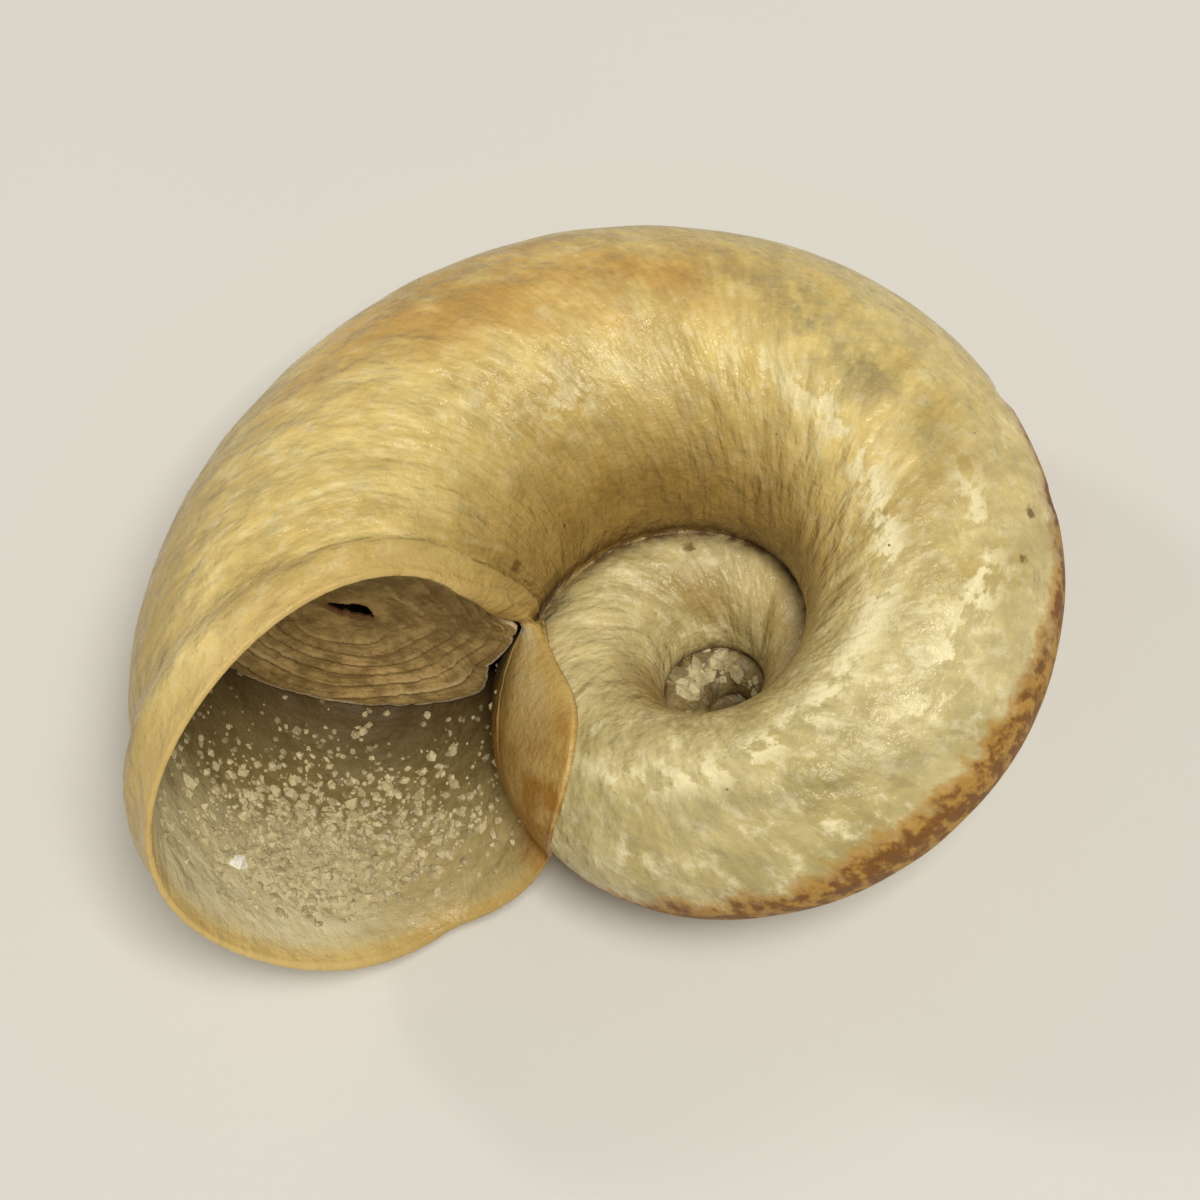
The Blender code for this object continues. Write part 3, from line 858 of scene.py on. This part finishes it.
def makeShell():
    rings = len(shellPoints)
    bm = bmesh.new()
    bmesh.ops.create_grid(bm, x_segments=columns, y_segments=rings - 1, size=1)
    bm.verts.ensure_lookup_table()
    bm.faces.ensure_lookup_table()
    wide = columns + 1
    gridPlace = bm.loops.layers.int.new("gridPlace")
    for vertex, place in zip(bm.verts, resting(wrapped(shellPoints))):
        vertex.co = place
    # both layers go where a whorl lies on the one before
    steps = weave["steps"]
    pressed = []
    for face in bm.faces:
        row, place = divmod(face.index, columns)
        onBefore = steps <= row < outerRings - 1 and place < contact
        covered = row < outerRings - 1 - steps and bandColumn <= place < spireColumn
        if onBefore or covered:
            pressed.append(face)
        else:
            for loop in face.loops:
                loop[gridPlace] = loop.vert.index
    ends = [[bm.verts[row * wide + place] for place in range(columns)] for row in (0, rings - 1)]
    softRows = range(*(outerRings + row for row in shellForm["softRows"]))
    soft = [bm.verts[row * wide + place] for row in softRows for place in shellForm["softColumns"]]
    bmesh.ops.delete(bm, geom=pressed, context="FACES_ONLY")
    for ring in ends:
        cap = bm.faces.new(ring)
        for loop in cap.loops:
            loop[gridPlace] = loop.vert.index
    bmesh.ops.remove_doubles(bm, verts=bm.verts, dist=weld)
    loose = [vertex for vertex in bm.verts if not vertex.link_faces]
    bmesh.ops.delete(bm, geom=loose, context="VERTS")
    soft = [vertex for vertex in soft if vertex.is_valid]
    for _ in range(shellForm["softened"]):
        bmesh.ops.smooth_vert(bm, verts=soft, factor=0.5, use_axis_x=True, use_axis_y=True, use_axis_z=True)
    bead, height = shellForm["bead"]
    seat = Matrix.Translation(resting((0, 0, height)))
    bmesh.ops.create_icosphere(bm, subdivisions=3, radius=bead * mm, matrix=seat)
    bmesh.ops.recalc_face_normals(bm, faces=bm.faces)
    piece = finishMesh("snail_shell", bm, shellMaterial())
    mesh = piece.data
    places = np.empty(len(mesh.loops), dtype=np.int32)
    mesh.attributes["gridPlace"].data.foreach_get("value", places)
    for name, grid in shellGuides().items():
        layer = mesh.attributes.new(name, "FLOAT_VECTOR", "CORNER")
        layer.data.foreach_set("vector", wrapped(grid)[places].astype(np.float32).ravel())
    mesh.attributes.remove(mesh.attributes["gridPlace"])
    return piece


shell = makeShell()
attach(shell, "root")
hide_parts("shell")
print("shell ready")


# The operculum: a thin leaf across the tube, in folds that wind out from near its middle.
operculumForm = {
    "turn": -0.085,
    "shift": (-0.39, -0.1),  # mm across the tube
    "facing": (-0.153, 0.05, 0.981),
    "gap": 0.05,
    "limit": 5.2,  # where a direction would miss the slanting lip
    "evened": 3,  # spokes to each side over which the rim is evened out
    "thickness": 0.13,
    "rings": 112,
    "spokes": 240,
    "core": (0.65, 0.97),  # mm from the middle to the point that the folds wind round
    "plain": 1.15,  # radius of the smooth middle
    "pitch": 0.5,
    "fold": 0.12,
    "finePitch": 0.21,
    "fineFold": 0.018,
    "dish": 0.45,
    "ragged": 0.09,
    "wobble": 0.8,  # how far the folds stray, in folds
    "hole": ((0.53, 0.38), (0.6, 0.3), 2.41),  # middle, half widths and turn
}

operculumLook = {
    "leaf": (0.54, 0.37, 0.145),
    "dark": (0.26, 0.165, 0.052),
    "foldEdge": (0.64, 0.48, 0.23),
    "fringe": (0.62, 0.5, 0.33),
    "rust": (0.2, 0.09, 0.022),
    "roughness": (0.5, 0.75),
    "fibres": 0.035,  # mm high
    "mottles": 0.06,
}


def tubeFrame(turn):
    # middle of the tube and, as columns, two axes across it and the way it grows
    near = np.array((turn - 0.005, turn, turn + 0.005))
    middles = inSpace(near, tubeMiddle(near))
    growing = middles[2] - middles[0]
    growing /= np.linalg.norm(growing)
    outward = inSpace(np.array([turn]), np.array([[1, 0]]))[0]
    outward -= growing * outward.dot(growing)
    outward /= np.linalg.norm(outward)
    return middles[1], np.stack((outward, np.cross(growing, outward), growing), axis=1)


def operculumFrame():
    form = operculumForm
    middle, axes = tubeFrame(form["turn"])
    lean = Vector((0, 0, 1)).rotation_difference(Vector(form["facing"])).to_matrix()
    return middle + axes @ np.array((*form["shift"], 0)), axes @ np.array(lean)


def wallReach(shell, middle, axes, angles):
    # how far the cavity's wall is in each direction, less the gap
    corners = [vertex.co / mm for vertex in shell.data.vertices]
    wall = BVHTree.FromPolygons(corners, [face.vertices[:] for face in shell.data.polygons])
    start = Vector(resting(middle) / mm)
    directions = np.stack((np.cos(angles), np.sin(angles), 0 * angles), axis=-1) @ (restAxes @ axes).T
    found = [wall.ray_cast(start, Vector(direction))[3] or math.inf for direction in directions]
    reach = np.minimum(found, operculumForm["limit"]) - operculumForm["gap"]
    evened = range(-operculumForm["evened"], operculumForm["evened"] + 1)
    for evener in (np.min, np.mean):
        reach = evener([np.roll(reach, step) for step in evened], axis=0)
    return reach


def operculumMaterial():
    look = operculumLook
    material, tree, shader = newMaterial("horny_operculum")
    fold, share, torn = guideParts(tree, "lamella")
    place = inMillimetres(tree)
    mottle = cloudy(place, 1.6, 1.6, 4, 0.65)
    fibre = cloudy(place, 7, 7, 3, 0.6, 4)
    colour = blend(ramp(mottle, 0.35, 0.65), look["leaf"], look["dark"])
    shaded = times(ramp(fold, 0.35, 0), ramp(share, 0.2, 0.35))
    colour = blend(times(shaded, 0.75), colour, look["dark"])
    lit = times(ramp(fold, 0.72, 0.95), ramp(mottle, 0.35, 0.55, 0.3, 0.9))
    colour = blend(lit, colour, look["foldEdge"])
    fringe = ramp(plus(share, times(mottle, 0.08)), 1.015, 1.045)
    colour = blend(fringe, colour, look["fringe"])
    height = arithmetic("MULTIPLY_ADD", fibre, look["fibres"], times(mottle, look["mottles"]))
    feed(shader, {
        "Base Color": blend(torn, colour, look["rust"]),
        "Roughness": ramp(fibre, 0.3, 0.7, *look["roughness"]),
        "Normal": addNode("Bump", {"Distance": mm, "Height": height}).outputs[0],
    })
    return material


def noiseRound(across, up, scale, level):
    return [noise.noise((scale * x, scale * y, level)) for x, y in zip(across.tolist(), up.tolist())]


def tornPlace(x, y, wobble):
    # under 1 in the hole, and the place across the hole
    (middleX, middleY), (halfX, halfY), turned = operculumForm["hole"]
    x, y = x - middleX, y - middleY
    along = (x * math.cos(turned) + y * math.sin(turned)) / halfX
    across = (y * math.cos(turned) - x * math.sin(turned)) / halfY
    return np.hypot(along, across) - 0.5 * wobble, across


def makeOperculum(shell):
    form = operculumForm
    rings, spokes = form["rings"], form["spokes"]
    middle, axes = operculumFrame()
    angles = 2 * math.pi * np.arange(spokes + 1) / spokes
    reach = wallReach(shell, middle, axes, angles[:-1])
    reach = np.append(reach, reach[0])
    share = np.linspace(0, 1, rings)[:, None]
    across, up = np.cos(angles), np.sin(angles)
    wobble = np.array([noiseRound(across, up, 1.4, 2.5 * part) for part in share[:, 0].tolist()])
    notches = np.array(noiseRound(across, up, 16, 5))
    rim = reach - form["ragged"] * np.maximum(notches, 0) * 2
    out = share * between(reach.mean(), rim, share ** 3)
    x = form["core"][0] * (1 - share) + out * across
    y = form["core"][1] * (1 - share) + out * up
    radius = share * reach.mean() + 0 * across
    phase = radius / form["pitch"] + angles / (2 * math.pi) + form["wobble"] * wobble
    folded = smooth(form["plain"] - 0.25, form["plain"] + 0.35, radius) * (1 - smooth(0.93, 1, share))
    fold = (phase % 1) * (0.75 + 0.6 * wobble)
    thin = (phase * form["pitch"] / form["finePitch"]) % 1
    folds = (form["fold"] * fold ** 2 + form["fineFold"] * thin ** 2) * folded
    height = form["dish"] * (share ** 2 - 1) + folds
    torn, acrossHole = tornPlace(x, y, wobble)
    tornEdge = (1 - smooth(1, 1.6, torn)) * (1 - smooth(-0.4, 0.6, acrossHole))
    torn = torn.ravel()

    bm = bmesh.new()
    bmesh.ops.create_grid(bm, x_segments=spokes, y_segments=rings - 1, size=1)
    guide = bm.verts.layers.float_vector.new("lamella")
    points = resting(middle + np.stack((x, y, height), axis=-1).reshape(-1, 3) @ axes.T)
    guides = np.stack((fold * folded, share + 0 * across, tornEdge), axis=-1).reshape(-1, 3)
    for vertex, place, values in zip(bm.verts, points, guides):
        vertex.co = place
        vertex[guide] = values
    lost = [face for face in bm.faces if all(torn[vertex.index] < 1 for vertex in face.verts)]
    bmesh.ops.delete(bm, geom=lost, context="FACES")
    bmesh.ops.remove_doubles(bm, verts=bm.verts, dist=weld)
    bmesh.ops.recalc_face_normals(bm, faces=bm.faces)
    bmesh.ops.solidify(bm, geom=bm.faces, thickness=form["thickness"] * mm)
    return finishMesh("operculum_leaf", bm, operculumMaterial())


operculum = makeOperculum(shell)
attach(operculum, "root")
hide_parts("operculum")
print("operculum ready")


# Crumbs of lime on the floor of the mouth and in the umbilicus. For each place: seed, how many,
# middle and spread of their turns and of their columns, smallest and largest size in mm, and tone.
crumbForm = {
    "mouth": (5, 1600, (-0.044, 0.017), (66, 7), (0.06, 0.21), (0.42, 0.85)),
    # the deep and umbilical crumbs take darker tones, partly painted shade of those hollows
    "deep": (6, 220, (-0.078, 0.014), (65, 9), (0.06, 0.18), (0.15, 0.6)),
    "umbilicus": (8, 46, (-2.12, 0.1), (31, 5), (0.16, 0.4), (0.15, 0.8)),
    "apex": (9, 40, (-2.55, 0.16), (30, 6), (0.12, 0.28), (0.15, 0.8)),
    # the two largest in the mouth: turn, column, size, tone and seed; the second, at tone 1, is white, a
    # painted glint
    "lumps": ((-0.051, 53, 0.3, 0.7, 1), (-0.03, 57, 0.3, 1, 2)),
    "mouthTurns": (-0.16, -0.012),  # none outside these
    "smallness": 2.2,  # the higher, the more small ones
    "sunk": 0.35,
    "stretch": (0.6, 1.25),
    "jag": (0.72, 1.15),
}

crumbLook = {
    "lime": (0.62, 0.53, 0.31),
    "dull": (0.17, 0.125, 0.05),
    "paintedGlint": (0.9, 0.88, 0.78),
    "roughness": (0.35, 0.65),
    "grains": 0.04,  # mm high
}


def gridSpot(row, place):
    # a point of the shell's grid between its rings and columns, and the way off the wall there
    low, left = int(row), int(place)
    rowShare, placeShare = row - low, place - left
    corners = shellPoints[low:low + 2, [left % columns, (left + 1) % columns]]
    middle = between(*between(corners[:, 0], corners[:, 1], placeShare), rowShare)
    away = np.cross(corners[1, 0] - corners[0, 0], corners[0, 1] - corners[0, 0])
    return middle, away / np.linalg.norm(away)


def addCrumb(bm, guide, place, off, size, tone, source):
    # an angular lump, sunk a little into the wall
    stretch = [size * source.uniform(*crumbForm["stretch"]) for _ in range(3)]
    turned = Vector([source.uniform(-1, 1) for _ in range(3)]).rotation_difference(Vector((0, 0, 1)))
    middle = Vector(resting(place + off * size * crumbForm["sunk"]))
    seat = Matrix.Translation(middle) @ turned.to_matrix().to_4x4() @ Matrix.Diagonal((*stretch, 1))
    lump = bmesh.ops.create_icosphere(bm, subdivisions=1, radius=mm, matrix=seat)["verts"]
    for vertex in lump:
        vertex.co = middle + (vertex.co - middle) * source.uniform(*crumbForm["jag"])
        vertex[guide] = tone


def crumbMaterial():
    look = crumbLook
    material, tree, shader = newMaterial("lime_crumbs")
    tone = attribute(tree, "crumbTone").outputs["Fac"]
    grain = cloudy(inMillimetres(tree), 6, 6, 3, 0.6)
    colour = blend(ramp(tone, 0, 0.8), look["dull"], look["lime"])
    # painted glint: tones above 0.85 turn white
    colour = blend(ramp(tone, 0.85, 1), colour, look["paintedGlint"])
    colour = blend(1, colour, ramp(grain, 0.3, 0.7, 0.8, 1.1), "MULTIPLY")
    bump = addNode("Bump", {"Distance": mm, "Height": times(grain, look["grains"])})
    feed(shader, {
        "Base Color": colour,
        "Roughness": ramp(grain, 0.3, 0.7, *look["roughness"]),
        "Normal": bump.outputs[0],
    })
    return material


def makeCrumbs(name, places, lumps, material):
    bm = bmesh.new()
    guide = bm.verts.layers.float.new("crumbTone")
    cavity = outerRings + weave["lipRows"]
    deepest, nearest = crumbForm["mouthTurns"]
    for seed, count, turns, spots, sizes, tones in (crumbForm[place] for place in places):
        source = random.Random(seed)
        inMouth = turns[0] > -1
        for _ in range(count):
            turn = source.gauss(*turns)
            place = source.gauss(*spots)
            size = between(*sizes, source.random() ** crumbForm["smallness"])
            if inMouth and not deepest < turn < nearest:
                continue
            row = cavity - turn * weave["steps"] if inMouth else (turn + coil["turns"]) * weave["steps"]
            middle, off = gridSpot(row, place)
            addCrumb(bm, guide, middle, off, size, source.uniform(*tones), source)
    for turn, place, size, tone, seed in lumps:
        middle, off = gridSpot(cavity - turn * weave["steps"], place)
        addCrumb(bm, guide, middle, off, size, tone, random.Random(seed))
    bmesh.ops.recalc_face_normals(bm, faces=bm.faces)
    piece = finishMesh(name, bm, material)
    piece.data.shade_flat()
    return piece


crumbs = crumbMaterial()
mouthCrumbs = makeCrumbs("mouth_crumbs", ("mouth", "deep"), crumbForm["lumps"], crumbs)
umbilicusCrumbs = makeCrumbs("umbilicus_crumbs", ("umbilicus", "apex"), (), crumbs)
for piece in (mouthCrumbs, umbilicusCrumbs):
    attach(piece, "root")
print("crumbs ready")


stage = {
    "floor": 1.5,
    "floorColours": ((0.7, 0.69, 0.67), (0.74, 0.73, 0.71)),
    "floorRoughness": 0.8,
    "sky": (0.84, 0.82, 0.76, 1),
    "skyStrength": 0.27,
}

# direction and distance in metres from the middle, size and power
lights = {
    "key": ((0.2, -0.2, 0.96), 0.3, 0.1, 0.68, (1, 0.96, 0.86)),
    "window": ((-0.74, 0.35, 0.56), 0.35, 0.04, 0.16, (1, 0.97, 0.92)),
}

view = {
    "aim": (3.486, -1.845, -0.115),  # mm
    "back": (-0.0002, -0.3207, 0.9472),
    "up": (-0.0588, 0.9456, 0.3201),
    "distance": 75.205,
    "lens": 87.62,
    "sensor": 36,
    "shift": (-0.1197, 0.1076),
    "clip": (0.002, 20),  # metres
}


def makeStage():
    bm = bmesh.new()
    bmesh.ops.create_grid(bm, x_segments=1, y_segments=1, size=stage["floor"])
    bmesh.ops.translate(bm, verts=bm.verts, vec=(0, 0, cadBox[0][2]))
    material, tree, shader = newMaterial("pale_floor")
    tone = blend(cloudy(inMillimetres(tree), 0.05, 0.05), *stage["floorColours"])
    feed(shader, {"Base Color": tone, "Roughness": stage["floorRoughness"]})
    floor = finishMesh("floor", bm, material)
    world = bpy.data.worlds.new("studio")
    world.use_nodes = True
    background = world.node_tree.nodes["Background"].inputs
    background["Color"].default_value = stage["sky"]
    background["Strength"].default_value = stage["skyStrength"]
    bpy.context.scene.world = world


def makeLight(name, direction, distance, size, power, colour):
    light = bpy.data.lights.new(name, "AREA")
    light.size = size
    light.energy = power
    light.color = colour
    lamp = newObject(name, light)
    toward = Vector(direction).normalized()
    lamp.location = toward * distance
    lamp.rotation_euler = toward.to_track_quat("Z", "Y").to_euler()


def makeCamera():
    camera = bpy.data.cameras.new("camera")
    camera.lens = view["lens"]
    camera.sensor_width = view["sensor"]
    camera.shift_x, camera.shift_y = view["shift"]
    camera.clip_start, camera.clip_end = view["clip"]
    holder = newObject("camera", camera)
    back = Vector(view["back"]).normalized()
    right = Vector(view["up"]).cross(back).normalized()
    turned = Matrix((right, back.cross(right), back)).transposed()
    place = (Vector(view["aim"]) + back * view["distance"]) * mm
    holder.matrix_world = Matrix.Translation(place) @ turned.to_4x4()
    bpy.context.scene.camera = holder


makeStage()
for name, settings in lights.items():
    makeLight(name, *settings)
makeCamera()
bpy.context.scene.view_settings.view_transform = "Standard"
print("stage ready")
